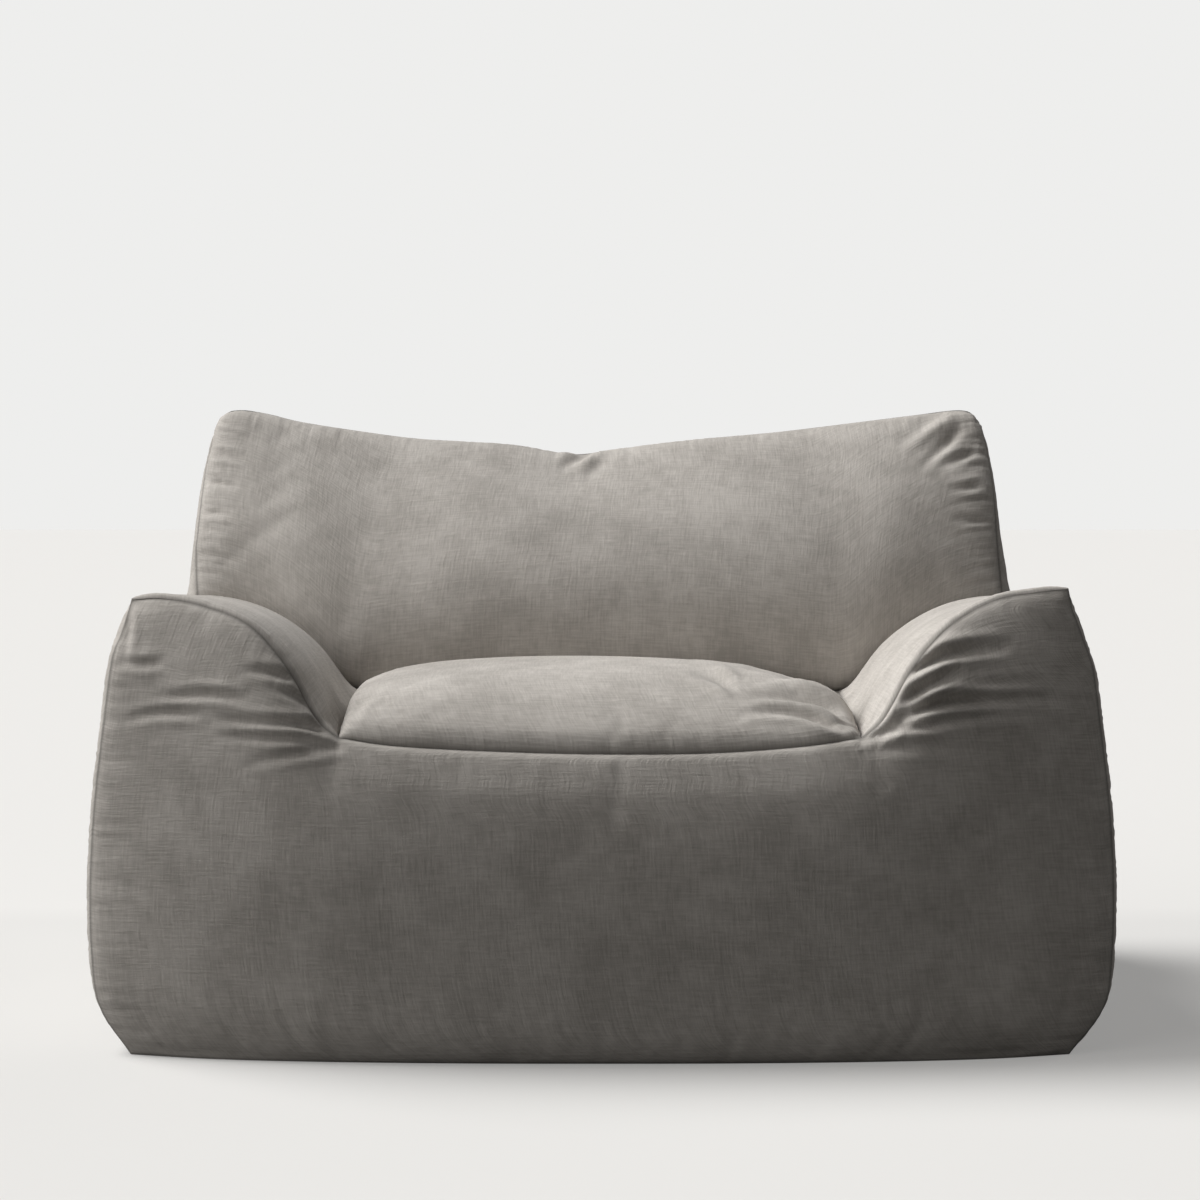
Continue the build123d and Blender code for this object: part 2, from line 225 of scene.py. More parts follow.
def arm_front(side):
    """Rounded front edge of an arm, from the ear down to the pucker."""
    end = pucker(side)
    lift = 0.004 + 0.004 * side
    points = [ear(side), (side * 0.565, -0.377, ARM_TOP + 0.001 + lift),
              (side * 0.507, -0.392, ARM_TOP - 0.009 + lift),
              (side * 0.448, -0.412, ARM_TOP - 0.033), (side * 0.400, -0.430, ARM_TOP - 0.084),
              (side * 0.362, -0.443, ARM_TOP - 0.148), end]
    return curve_through(points, even(ARM_SEGS))


def arm_rear(side):
    """Where the inner arm meets the backrest, from the crest down to the crease."""
    points = [crest_end(side), (side * 0.552, 0.180, ARM_TOP - 0.032), (side * 0.500, 0.170, ARM_TOP - 0.054),
              (side * 0.436, 0.150, ARM_TOP - 0.098), (side * 0.384, 0.134, ARM_TOP - 0.148),
              crease_end(side)]
    return curve_through(points, even(ARM_SEGS))


DEEP = even(DEEP_SEGS) ** 1.25      # closer together near the front


def crest(side):
    """Seam along the top of an arm, from the ear back to the backrest."""
    points = [ear(side), (side * 0.612, -0.27, ARM_TOP - 0.008), (side * 0.613, -0.10, ARM_TOP - 0.015),
              (side * 0.610, 0.06, ARM_TOP - 0.019), crest_end(side)]
    return within(side, curve_through(points, DEEP))


def crease(side):
    """Seam between the seat and an inner arm."""
    points = [pucker(side), (side * 0.335, -0.40, SEAT_SEAM + 0.018),
              (side * 0.340, -0.20, SEAT_SEAM + 0.028), (side * 0.346, 0.0, SEAT_SEAM + 0.034),
              crease_end(side)]
    return curve_through(points, DEEP)


def seat_seam():
    points = [pucker(-1), (-0.26, -0.4585, SEAT_SEAM + 0.0095), (-0.13, -0.463, SEAT_SEAM + 0.003),
              (0.0, -0.465, SEAT_SEAM + 0.000), (0.14, -0.463, SEAT_SEAM + 0.001),
              (0.26, -0.458, SEAT_SEAM + 0.009), pucker(1)]
    return curve_through(points, even(SEAT_SEGS))


def rear_crease():
    points = [crease_end(-1), (-0.18, CREASE_Y - 0.006, SEAT_SEAM + 0.052),
              (0, CREASE_Y - 0.008, SEAT_SEAM + 0.058), (0.18, CREASE_Y - 0.006, SEAT_SEAM + 0.052),
              crease_end(1)]
    return curve_through(points, even(SEAT_SEGS))


def back_side(side):
    """Side seam of the backrest, from the arm up to the top corner."""
    x = 0.609 if side < 0 else 0.599
    points = [crest_end(side), (side * x, 0.222, ARM_TOP + 0.055),
              (side * (x + 0.001), 0.266, ARM_TOP + 0.125), (side * x, 0.318, ARM_TOP + 0.190),
              (side * (x - 0.004), 0.343, ARM_TOP + 0.225), back_corner(side)]
    return within(side, curve_through(points, even(LEAN_SEGS)))


def top_seam():
    """Dipping top edge of the backrest, with a small gathered tuck near its middle."""
    drop = [(-0.592, 0.020), (-0.580, 0.004), (-0.555, 0.000), (-0.515, 0.006), (-0.465, 0.018),
            (-0.375, 0.032), (-0.28, 0.044), (-0.14, 0.053), (-0.045, 0.067), (0.03, 0.059),
            (0.14, 0.046), (0.28, 0.033), (0.42, 0.016), (0.500, 0.006), (0.550, 0.000),
            (0.576, 0.003), (0.590, 0.020)]
    points = [(x, TOP_SEAM_Y + 0.003 * (abs(x) / 0.586), TOP - d) for x, d in drop]
    points[0] = back_corner(-1)
    points[-1] = back_corner(1)
    return curve_through(points, even(WIDE_SEGS))


def foot_line(front):
    y = FOOT_FRONT - 0.014 if front else FOOT_REAR
    corner = foot_corner(1, front)
    set_back = (0.030, 0.012, 0.002) if front else (-0.004, 0, 0)
    middle = [(x, y + back, 0) for x, back in zip((0.50, 0.36, 0.18), set_back)]
    points = mirrored([corner] + middle) + [(0, y, 0)] + ([corner] + middle)[::-1]
    return curve_through(points, even(WIDE_SEGS))


def foot_side(side):
    a = foot_corner(side, True)
    b = foot_corner(side, False)
    points = [a, (side * (FOOT_X + 0.002), -0.28, 0), (side * (FOOT_X + 0.006), 0, 0),
              (side * (FOOT_X + 0.002), 0.28, 0), b]
    return curve_through(points, even(LONG_SEGS))


# ---------------------------------------------------------------- panels of the cover
def build_patches():
    """Each panel as a grid of points (rows, columns, 3), and whether its faces must be turned over."""
    seat_front = seat_seam()
    arms = {side: arm_front(side) for side in (-1, 1)}
    arms_rear = {side: arm_rear(side) for side in (-1, 1)}
    crests = {side: crest(side) for side in (-1, 1)}
    creases = {side: crease(side) for side in (-1, 1)}
    fronts = {side: front_seam(side) for side in (-1, 1)}
    rears = {side: rear_seam(side) for side in (-1, 1)}
    sides_up = {side: back_side(side) for side in (-1, 1)}
    back_crease = rear_crease()
    top = top_seam()
    front_foot = foot_line(True)
    rear_foot = foot_line(False)
    side_foot = {side: foot_side(side) for side in (-1, 1)}

    patches = {}
    u_edge = np.vstack([arms[-1], seat_front[1:], arms[1][::-1][1:]])
    front = coons(front_foot, u_edge, fronts[-1], fronts[1])
    u = even(WIDE_SEGS)[None, :]
    v = even(WALL_SEGS)[:, None]
    front[..., 1] -= 0.032 * window(u, 4.5) * np.sin(math.pi * v) ** 0.7
    patches["front"] = calmed(front)
    patches["rear"] = coons(rear_foot, top, rears[-1], rears[1])
    for side, name in ((-1, "left"), (1, "right")):
        over = np.vstack([crests[side], sides_up[side][1:]])
        wall = coons(side_foot[side], over, fronts[side], rears[side])
        v = even(WALL_SEGS)[:, None]
        u = even(LONG_SEGS)[None, :]
        wall[..., 0] += side * 0.012 * window(u, 4) * window(v, 4)
        patches[f"{name}_side"] = within(side, wall)
        arm = coons(crests[side], creases[side], arms[side], arms_rear[side])
        swell = 0.024 * window(even(ARM_SEGS), 2.2)[:, None] * window(DEEP, 3)[None, :]
        arm[..., 0] -= side * swell * 0.80
        arm[..., 2] += swell * 0.40
        patches[f"{name}_inner_arm"] = arm
    low_edge = np.vstack([arms_rear[-1], back_crease[1:], arms_rear[1][::-1][1:]])
    back = coons(low_edge, top, sides_up[-1], sides_up[1])
    v = even(LEAN_SEGS)[:, None]
    u = even(WIDE_SEGS)[None, :]
    swell = window(u, 2.6) * np.sin(math.pi * v ** 0.72) ** 0.8 * 0.074
    back[..., 1] -= swell * 0.88
    back[..., 2] += swell * 0.40
    patches["backrest"] = back

    seat = coons(seat_front, back_crease, creases[-1], creases[1])
    seat[..., 2] += seat_swell()
    patches["seat"] = seat
    patches["base"] = coons(front_foot, rear_foot, side_foot[-1], side_foot[1])
    return {name: (grid, turned(name, grid)) for name, grid in patches.items()}


def seat_swell():
    """Height of the seat above its seams: round at the front, boxy at the left, sloping at the right."""
    across = np.linspace(-1, 1, SEAT_SEGS + 1)[None, :]
    power = 4.4 - 1.2 * across
    root = 1 / (2.25 - 0.2 * across)
    side_shape = np.clip(1 - np.abs(across) ** power, 0, 1) ** root
    t = DEEP[:, None]
    front_shape = np.sqrt(np.clip(1 - (1 - np.minimum(t / 0.26, 1)) ** 2, 0, 1))
    rear_shape = np.clip(1 - np.maximum((t - 0.42) / 0.58, 0) ** 2.2, 0, 1)
    height = 0.075 - 0.028 * t
    return height * side_shape * front_shape * rear_shape


OUTSIDE = {
    "front": (0, -1, 0), "rear": (0, 1, 0), "left_side": (-1, 0, 0), "right_side": (1, 0, 0),
    "left_inner_arm": (1, 0, 1), "right_inner_arm": (-1, 0, 1), "backrest": (0, -1, 0.5),
    "seat": (0, 0, 1), "base": (0, 0, -1),
}


def turned(name, grid):
    """True when the faces of the grid have to be turned over to look outwards."""
    normal = np.cross(np.diff(grid, axis=1)[:-1], np.diff(grid, axis=0)[:, :-1])
    return bool((normal @ np.array(OUTSIDE[name], float)).sum() < 0)


def weld(patches):
    """One closed mesh of all panels. Returns points, faces, and each panel's grid of point numbers."""
    lookup = {}
    points = []
    numbers = {}
    faces = []
    for name, (grid, flip) in patches.items():
        rows, cols = grid.shape[:2]
        ids = np.zeros((rows, cols), int)
        for i in range(rows):
            for j in range(cols):
                key = tuple(np.round(grid[i, j], 5))
                edge = i in (0, rows - 1) or j in (0, cols - 1)
                if edge and key in lookup:
                    ids[i, j] = lookup[key]
                    continue
                ids[i, j] = len(points)
                points.append(grid[i, j])
                if edge:
                    lookup[key] = ids[i, j]
        numbers[name] = ids
        for i in range(rows - 1):
            for j in range(cols - 1):
                face = [ids[i, j], ids[i, j + 1], ids[i + 1, j + 1], ids[i + 1, j]]
                faces.append(face[::-1] if flip else face)
    return np.array(points), faces, numbers


def new_object(name, points, faces):
    mesh = bpy.data.meshes.new(name)
    mesh.from_pydata([tuple(p) for p in points], [], [tuple(f) for f in faces])
    mesh.update()
    obj = bpy.data.objects.new(name, mesh)
    bpy.context.scene.collection.objects.link(obj)
    return obj


# ---------------------------------------------------------------- the filled cover settles as cloth
CLOTH_FRAMES = 24
CLOTH_QUALITY = 5
CLOTH_PRESSURE = 1.5
FREE_HOLD = 0.03          # how firmly the cloth is held away from seams
SEAM_HOLD = 0.5           # and how much more on a seam
SEAM_HOLD_REACH = 0.012
FIRM_SHARE = 0.3          # share of the cloth's movement kept where it isn't slack
MOVE_CAP = 0.020          # no point of the cover moves further than this
SLACK_SPOTS = [           # x, y, z, reach and how loose the cloth is there
    (-0.45, -0.42, 0.47, 0.16, 1.0), (0.48, -0.41, 0.50, 0.17, 1.0), (0.27, -0.36, 0.45, 0.14, 0.8),
    (0.57, 0.34, 0.80, 0.12, 0.7), (-0.60, -0.36, 0.53, 0.10, 0.7), (-0.60, 0.30, 0.70, 0.12, 0.5),
    (-0.62, -0.35, 0.08, 0.15, 0.5), (0.62, -0.35, 0.08, 0.15, 0.5), (0.0, 0.36, 0.78, 0.08, 0.4),
    (-0.55, 0.45, 0.45, 0.2, 0.6), (0.55, 0.45, 0.45, 0.2, 0.6), (-0.66, 0.1, 0.45, 0.2, 0.5),
    (0.66, 0.1, 0.45, 0.2, 0.5)]


def edge_distances(grid):
    """Distance of every point of a panel from its bottom, top, left and right border."""
    found = []
    for axis in (0, 1):
        step = np.linalg.norm(np.diff(grid, axis=axis), axis=2)
        start = np.zeros_like(np.take(step, [0], axis=axis))
        run = np.concatenate([start, np.cumsum(step, axis=axis)], axis=axis)
        found += [run, np.take(run, [-1], axis=axis) - run]
    return found


def weigh(obj, name, weights, digits):
    """Vertex group of the object with these weights, rounded."""
    group = obj.vertex_groups.new(name=name)
    rounded = np.round(weights, digits)
    for weight in np.unique(rounded):
        group.add([int(i) for i in np.nonzero(rounded == weight)[0]], float(weight), "REPLACE")


def settle(points, faces, numbers):
    """Blender cloth: fill pressure from inside, seams held near their lines, floor and zip held flat."""
    obj = new_object("cloth_run", points, faces)
    near = np.full(len(points), 9.0)
    for ids in numbers.values():
        np.minimum.at(near, ids, np.minimum.reduce(edge_distances(points[ids])))
    hold = FREE_HOLD + SEAM_HOLD * np.exp(-(near / SEAM_HOLD_REACH) ** 2)
    hold[points[:, 2] < 0.004] = 1.0
    hold[(points[:, 1] > 0.40) & (np.abs(points[:, 2] - ZIP_LEVEL) < 0.05)] = 1.0
    slack = np.zeros(len(points))
    for x, y, z, reach, loose in SLACK_SPOTS:
        away = np.linalg.norm(points - (x, y, z), axis=1)
        slack = np.maximum(slack, loose * np.exp(-(away / reach) ** 2))
    weigh(obj, "hold", hold, 2)
    weigh(obj, "slack", slack, 1)
    cloth = obj.modifiers.new("cloth", "CLOTH")
    rules = cloth.settings
    rules.quality = CLOTH_QUALITY
    rules.mass = 0.15
    rules.tension_stiffness = 18
    rules.compression_stiffness = 14
    rules.shear_stiffness = 5
    rules.bending_stiffness = 1.0
    rules.tension_damping = 5
    rules.compression_damping = 5
    rules.air_damping = 4
    rules.vertex_group_mass = "hold"
    rules.pin_stiffness = 1.0
    rules.use_pressure = True
    rules.uniform_pressure_force = CLOTH_PRESSURE
    rules.shrink_min = -0.002
    rules.shrink_max = -0.030
    rules.vertex_group_shrink = "slack"
    rules.effector_weights.gravity = 0
    cloth.collision_settings.use_collision = False
    cloth.point_cache.frame_start = 1
    cloth.point_cache.frame_end = CLOTH_FRAMES
    scene = bpy.context.scene
    for step in range(1, CLOTH_FRAMES + 1):
        scene.frame_set(step)
    shaped = obj.evaluated_get(bpy.context.evaluated_depsgraph_get()).to_mesh()
    moved = np.zeros(len(points) * 3)
    shaped.vertices.foreach_get("co", moved)
    bpy.data.objects.remove(obj)
    scene.frame_set(1)
    shift = moved.reshape(-1, 3) - points
    size = np.linalg.norm(shift, axis=1)
    capped = MOVE_CAP * np.tanh(size / MOVE_CAP) / np.maximum(size, 1e-9)
    return points + shift * (capped * (FIRM_SHARE + (1 - FIRM_SHARE) * slack))[:, None]


# ---------------------------------------------------------------- seams, gathers and folds
# rise beside the seam, distance over which it rises, height of the gathers, how far they reach
SOFT_SEAM = (0.0060, 0.011, 0.0016, 0.020)
FLAT_SEAM = (0.0045, 0.0035, 0.0006, 0.014)
PULLED_SEAM = (0.0045, 0.008, 0.0030, 0.020)
FLOOR_SEAM = (0.0030, 0.010, 0.0012, 0.030)
LAP_SEAM = (0.0070, 0.0060, 0.0008, 0.014)
HIDDEN_SEAM = (0.0, 0.01, 0.0, 0.01)
EDGES = {                # bottom, top, left, right border of each panel
    "front": (FLOOR_SEAM, FLAT_SEAM, SOFT_SEAM, SOFT_SEAM),
    "rear": (FLOOR_SEAM, SOFT_SEAM, SOFT_SEAM, SOFT_SEAM),
    "left_side": (FLOOR_SEAM, SOFT_SEAM, SOFT_SEAM, SOFT_SEAM),
    "right_side": (FLOOR_SEAM, SOFT_SEAM, SOFT_SEAM, SOFT_SEAM),
    "left_inner_arm": (SOFT_SEAM, SOFT_SEAM, LAP_SEAM, HIDDEN_SEAM),
    "right_inner_arm": (SOFT_SEAM, SOFT_SEAM, LAP_SEAM, HIDDEN_SEAM),
    "backrest": (HIDDEN_SEAM, SOFT_SEAM, PULLED_SEAM, PULLED_SEAM),
    "seat": (FLAT_SEAM, HIDDEN_SEAM, PULLED_SEAM, PULLED_SEAM),
    "base": (HIDDEN_SEAM, HIDDEN_SEAM, HIDDEN_SEAM, HIDDEN_SEAM),
}
EYE = np.array((0, -3.95, 0.74))      # where the chair is seen from, for placing the folds
EYE_TILT = math.radians(2.42)
EYE_LENS = 83
FOLD_PLANE = 3.5          # from the eye to the upright plane on which the fold paths are given
FOLD_LEVEL = EYE[2] - FOLD_PLANE * math.tan(EYE_TILT)    # height of the line of sight on it
FOLD_STEPS = 60           # places along a fold path
# panel, half width and height of the fold (negative is a crease), path across and up on that plane
FOLDS = [
    ("front", 0.00569, -0.0060, [(-0.4428, 0.4668), (-0.4997, 0.4732), (-0.5630, 0.4668)]),
    ("front", 0.00569, -0.0055, [(-0.4997, 0.4479), (-0.5503, 0.4504), (-0.6009, 0.4403)]),
    ("front", 0.00569, -0.0085, [(-0.3226, 0.4175), (-0.3922, 0.4352), (-0.4934, 0.4415)]),
    ("front", 0.00569, -0.0055, [(-0.3226, 0.4049), (-0.3985, 0.4175), (-0.4870, 0.4200)]),
    ("front", 0.00633, -0.0040, [(-0.3163, 0.4049), (-0.3795, 0.3985), (-0.4554, 0.3821)]),
    ("front", 0.00569, -0.0070, [(-0.3732, 0.4858), (-0.4175, 0.4997), (-0.4554, 0.5035)]),
    ("front", 0.00569, -0.0070, [(-0.3479, 0.4428), (-0.3820, 0.4681), (-0.4200, 0.4858)]),
    ("front", 0.00569, -0.0040, [(-0.5996, 0.5896), (-0.5958, 0.5541), (-0.6022, 0.5061)]),
    ("front", 0.00569, -0.0040, [(-0.5490, 0.5136), (-0.5794, 0.5111), (-0.6123, 0.5162)]),
    ("front", 0.00759, -0.0150, [(0.3795, 0.4909), (0.4364, 0.5212), (0.5212, 0.5339)]),
    ("front", 0.00759, -0.0140, [(0.3719, 0.4504), (0.4149, 0.4833), (0.4617, 0.5086)]),
    ("front", 0.00759, -0.0150, [(0.3441, 0.4175), (0.4111, 0.4555), (0.4744, 0.4643), (0.5845, 0.4668)]),
    ("front", 0.00633, -0.0070, [(0.3163, 0.4124), (0.4048, 0.4327), (0.4681, 0.4441), (0.5819, 0.4529)]),
    ("front", 0.00633, -0.0035, [(0.4529, 0.4820), (0.5693, 0.4883)]),
    ("front", 0.00759, -0.0030, [(0.3314, 0.4061), (0.4175, 0.4061), (0.5060, 0.3985)]),
    ("seat", 0.00633, -0.0150, [(0.3239, 0.4453), (0.3011, 0.4694), (0.2530, 0.4871), (0.2049, 0.4947)]),
    ("seat", 0.00633, -0.0150, [(0.3188, 0.4314), (0.2910, 0.4529), (0.2404, 0.4668), (0.1834, 0.4681)]),
    ("seat", 0.00633, -0.0110, [(0.3137, 0.4226), (0.2720, 0.4415), (0.2277, 0.4504), (0.1720, 0.4479)]),
    ("seat", 0.00633, -0.0110, [(0.2859, 0.4782), (0.2340, 0.4997), (0.1796, 0.5061)]),
    ("seat", 0.00633, -0.0090, [(0.1746, 0.4782), (0.1417, 0.4934), (0.1113, 0.4997)]),
    ("seat", 0.00633, -0.0040, [(-0.3163, 0.4377), (-0.3011, 0.4593), (-0.2720, 0.4782)]),
    ("backrest", 0.00759, 0.0060, [(0.4516, 0.8236), (0.4175, 0.7996), (0.3795, 0.7717)]),
    ("backrest", 0.00569, -0.0050, [(0.4605, 0.8097), (0.4327, 0.7818), (0.3985, 0.7515)]),
    ("backrest", 0.00506, -0.0040, [(0.4757, 0.7793), (0.4491, 0.7654), (0.4238, 0.7565)]),
    ("backrest", 0.00506, -0.0040, [(0.4858, 0.7363), (0.4580, 0.7312), (0.4364, 0.7300)]),
    ("backrest", 0.00506, -0.0035, [(0.4934, 0.6908), (0.4617, 0.6908), (0.4428, 0.6920)]),
    ("backrest", 0.00506, -0.0040, [(-0.4921, 0.7793), (-0.4706, 0.7717), (-0.4478, 0.7667)]),
    ("backrest", 0.00506, -0.0040, [(-0.4984, 0.7426), (-0.4731, 0.7363), (-0.4554, 0.7312)]),
    ("backrest", 0.00506, -0.0035, [(-0.5022, 0.7034), (-0.4782, 0.6996), (-0.4605, 0.6983)]),
    ("backrest", 0.00633, -0.0070, [(-0.0101, 0.7780), (-0.0316, 0.7679), (-0.0531, 0.7515)]),
    ("backrest", 0.00633, 0.0040, [(0.0076, 0.7755), (-0.0101, 0.7641), (-0.0329, 0.7414)]),
]


def seen(points):
    """Where points appear from the front, across and up in metres on the fold plane."""
    offset = points - EYE
    depth = offset[..., 1] * math.cos(EYE_TILT) - offset[..., 2] * math.sin(EYE_TILT)
    height = offset[..., 2] * math.cos(EYE_TILT) + offset[..., 1] * math.sin(EYE_TILT)
    nearer = FOLD_PLANE / depth
    return np.stack([offset[..., 0] * nearer, FOLD_LEVEL + height * nearer], axis=-1)


def fold(view, path, width, height):
    """Crease or ridge along a path of the front view, with lower shoulders beside it."""
    flat = curve_through([(x, y, 0) for x, y in path], even(FOLD_STEPS))[:, :2]
    away = np.linalg.norm(view[..., None, :] - flat, axis=-1)
    nearest = away.argmin(axis=-1)
    distance = away.min(axis=-1) / width
    along = nearest / FOLD_STEPS
    taper = np.clip(along / 0.30, 0, 1) ** 0.8 * np.clip((1 - along) / 0.65, 0, 1) ** 0.9
    core = np.exp(-distance ** 2)
    shoulder = np.exp(-(distance - 1.9) ** 2)
    return height * taper * (core - 0.5 * shoulder)


def gathers(along, reach, depth, seed):
    """Small uneven folds leaving a seam at right angles; nothing on the seam itself."""
    random = np.random.default_rng(seed)
    drift = 1.4 * np.sin(along / 0.11 + random.uniform(0, 6))
    wave = sum(np.sin(2 * math.pi * along / length + drift + random.uniform(0, 6))
               for length in (0.017, 0.026, 0.043, 0.071)) / 4
    fade = depth / reach * np.exp(1 - depth / reach)
    return -np.abs(wave) ** 0.8 * fade


LUMP_RANDOM = np.random.default_rng(7)
LUMPS = [(LUMP_RANDOM.normal(0, 1, 3), LUMP_RANDOM.uniform(0, 6)) for _ in range(9)]


def lumps(points):
    """Slow swells of the bead fill under the cloth."""
    total = 0
    for direction, phase in LUMPS:
        direction = direction / np.linalg.norm(direction) * 2 * math.pi / 0.34
        total = total + np.sin(points @ direction + phase)
    return total / 3


def outward(grid, flip):
    """Unit normals of a panel, pointing out of the chair."""
    normal = np.cross(np.gradient(grid, axis=1), np.gradient(grid, axis=0))
    normal /= np.maximum(np.linalg.norm(normal, axis=2, keepdims=True), 1e-9)
    return -normal if flip else normal


LUMP_HEIGHT = 0.0022
LUMP_CLEARANCE = 0.07     # the swells fade out this near a seam
FOLD_CLEARANCE = 0.006    # and the folds this near
LAP_HEIGHT = 0.0022       # double cloth along the front seam of an inner arm
LAP_WIDTH = 0.009
LAP_EDGE = 0.002


def detailed(name, grid, flip):
    """The panel with its seams, gathers, folds and swells; its border stays where it is."""
    bottom, top, left, right = edge_distances(grid)
    nearest = np.minimum.reduce([bottom, top, left, right])
    lift = np.zeros(nearest.shape)
    groove = np.ones(nearest.shape)
    rises = []
    for k, (depth, along) in enumerate(((bottom, left), (top, left), (left, bottom), (right, bottom))):
        rise, width, height, reach = EDGES[name][k]
        rises.append(rise)
        if (name, k) == ("front", 1):
            width = 0.0035 + 0.006 * (np.abs(grid[..., 0]) > SEAT_HALF - 0.01)
        groove *= 1 - np.exp(-depth / width)
        lift += height * gathers(along, reach, depth, 11 * k + 3)
    lift += max(rises) * groove
    free = 1 - np.exp(-(nearest / FOLD_CLEARANCE) ** 2)
    lift += LUMP_HEIGHT * lumps(grid) * (1 - np.exp(-(nearest / LUMP_CLEARANCE) ** 2))
    view = seen(grid)
    for panel, width, height, path in FOLDS:
        if panel == name:
            lift += fold(view, path, width, height) * free
    if name.endswith("inner_arm"):
        lap = 1 - np.exp(-(left / LAP_EDGE) ** 2)
        lift += lap * LAP_HEIGHT * (1 - np.clip((left - LAP_WIDTH) / LAP_EDGE, 0, 1))
    if name == "base":
        lift *= 0
    return grid + outward(grid, flip) * lift[..., None]


def refined(grid, times):
    """The grid with each segment divided smoothly; its borders depend on border points alone."""
    for axis in (0, 1):
        grid = np.moveaxis(grid, axis, 0)
        padded = np.concatenate([2 * grid[:1] - grid[1:2], grid, 2 * grid[-1:] - grid[-2:-1]])
        a, b, c, d = padded[:-3], padded[1:-2], padded[2:-1], padded[3:]
        rows = []
        for k in range(times):
            t = k / times
            rows.append(0.5 * (2 * b + (c - a) * t + (2 * a - 5 * b + 4 * c - d) * t ** 2
                               + (3 * b - a - 3 * c + d) * t ** 3))
        dense = np.stack(rows, axis=1).reshape(-1, *grid.shape[1:])
        grid = np.moveaxis(np.concatenate([dense, grid[-1:]]), 0, axis)
    return grid


# painted shade: distance from a seam over which the cloth's colour is darkened
SEAM_SHADE_REACH = 0.0032


def grid_object(name, grid, flip):
    """A smooth sheet of quads through the grid, with its lengths in metres as UVs and a seam attribute that
    carries painted shade along its borders.
    """
    rows, cols = grid.shape[:2]
    ids = np.arange(rows * cols).reshape(rows, cols)
    quads = np.stack([ids[:-1, :-1], ids[:-1, 1:], ids[1:, 1:], ids[1:, :-1]], axis=-1).reshape(-1, 4)
    if flip:
        quads = quads[:, ::-1]
    obj = new_object(name, grid.reshape(-1, 3), quads.tolist())
    obj.data.polygons.foreach_set("use_smooth", [True] * len(quads))
    bottom, _, left, _ = edge_distances(grid)
    lengths = np.stack([left, bottom], axis=-1).reshape(-1, 2)
    layer = obj.data.uv_layers.new(name="lengths")
    layer.data.foreach_set("uv", lengths[quads.reshape(-1)].reshape(-1))
    # painted shade: seam attribute, one on a border and fading within SEAM_SHADE_REACH, which darkens the
    # cloth's colour there
    painted_seam_shade = obj.data.attributes.new("seam", "FLOAT", "POINT")
    nearest = np.minimum.reduce(edge_distances(grid))
    painted_seam_shade.data.foreach_set("value", np.exp(-(nearest / SEAM_SHADE_REACH) ** 2).reshape(-1))
    return obj


# ---------------------------------------------------------------- materials
def add_node(mat, kind, inputs=None, **values):
    """New node of the material; inputs maps a socket to a value or to another node's output."""
    node = mat.node_tree.nodes.new(kind)
    for key, value in values.items():
        setattr(node, key, value)
    for key, value in (inputs or {}).items():
        if isinstance(value, bpy.types.NodeSocket):
            mat.node_tree.links.new(value, node.inputs[key])
        else:
            node.inputs[key].default_value = value
    return node


def new_material(name, color, roughness, metallic=0.0):
    mat = bpy.data.materials.new(name)
    mat.use_nodes = True
    shader = mat.node_tree.nodes["Principled BSDF"]
    shader.inputs["Base Color"].default_value = (*color, 1)
    shader.inputs["Roughness"].default_value = roughness
    shader.inputs["Metallic"].default_value = metallic
    return mat, shader


def threads(mat, place, across, along):
    """Slubby threads: noise stretched along one direction."""
    scaled = add_node(mat, "ShaderNodeMapping", {"Vector": place, "Scale": (across, along, 1)})
    return add_node(mat, "ShaderNodeTexNoise", {"Vector": scaled.outputs[0], "Scale": 1.0, "Detail": 2.0,
                                                "Roughness": 0.6}).outputs["Fac"]


SEAM_SHADE = 0.7          # painted shade: how dark the cloth's colour is painted down in a seam


def fabric(name, dark, light, sheen=0.35, weave=1.0):
    """Washed cloth: blotchy nap, crossing slubby threads, soft sheen at grazing angles, and painted shade
    down in the seams.
    """
    mat, shader = new_material(name, light, 0.95)
    lengths = add_node(mat, "ShaderNodeUVMap", uv_map="lengths").outputs[0]
    place = add_node(mat, "ShaderNodeTexCoord").outputs["Object"]
    blotch = add_node(mat, "ShaderNodeTexNoise", {"Vector": place, "Scale": 9.0, "Detail": 8.0,
                                                  "Roughness": 0.72})
    weft = threads(mat, lengths, 28, 330)
    warp = threads(mat, lengths, 330, 28)
    cross = add_node(mat, "ShaderNodeMath", {0: weft, 1: warp}, operation="ADD").outputs[0]
    fine = add_node(mat, "ShaderNodeMapRange", {0: cross, 1: 0.72, 2: 1.28, 3: -0.34 * weave,
                                                4: 0.34 * weave}).outputs[0]
    wide = add_node(mat, "ShaderNodeMapRange", {0: blotch.outputs["Fac"], 1: 0.38, 2: 0.62,
                                                3: 0.15, 4: 0.85}).outputs[0]
    both = add_node(mat, "ShaderNodeMath", {0: fine, 1: wide}, operation="ADD", use_clamp=True).outputs[0]
    tone = add_node(mat, "ShaderNodeMix", {0: both, 6: (*dark, 1), 7: (*light, 1)}, data_type="RGBA")
    # painted shade: near a seam the colour is mixed towards 0.3 of the dark tone
    seam = add_node(mat, "ShaderNodeAttribute", attribute_name="seam").outputs["Fac"]
    depth = add_node(mat, "ShaderNodeMath", {0: seam, 1: SEAM_SHADE}, operation="MULTIPLY").outputs[0]
    shaded = add_node(mat, "ShaderNodeMix", {0: depth, 6: tone.outputs[2],
                                             7: tuple(0.3 * c for c in dark) + (1,)}, data_type="RGBA")
    mat.node_tree.links.new(shaded.outputs[2], shader.inputs["Base Color"])
    bump = add_node(mat, "ShaderNodeBump", {"Height": cross, "Strength": 0.5 * weave, "Distance": 0.0010})
    mat.node_tree.links.new(bump.outputs[0], shader.inputs["Normal"])
    shader.inputs["Sheen Weight"].default_value = sheen
    shader.inputs["Sheen Roughness"].default_value = 0.45
    shader.inputs["Specular IOR Level"].default_value = 0.15
    return mat


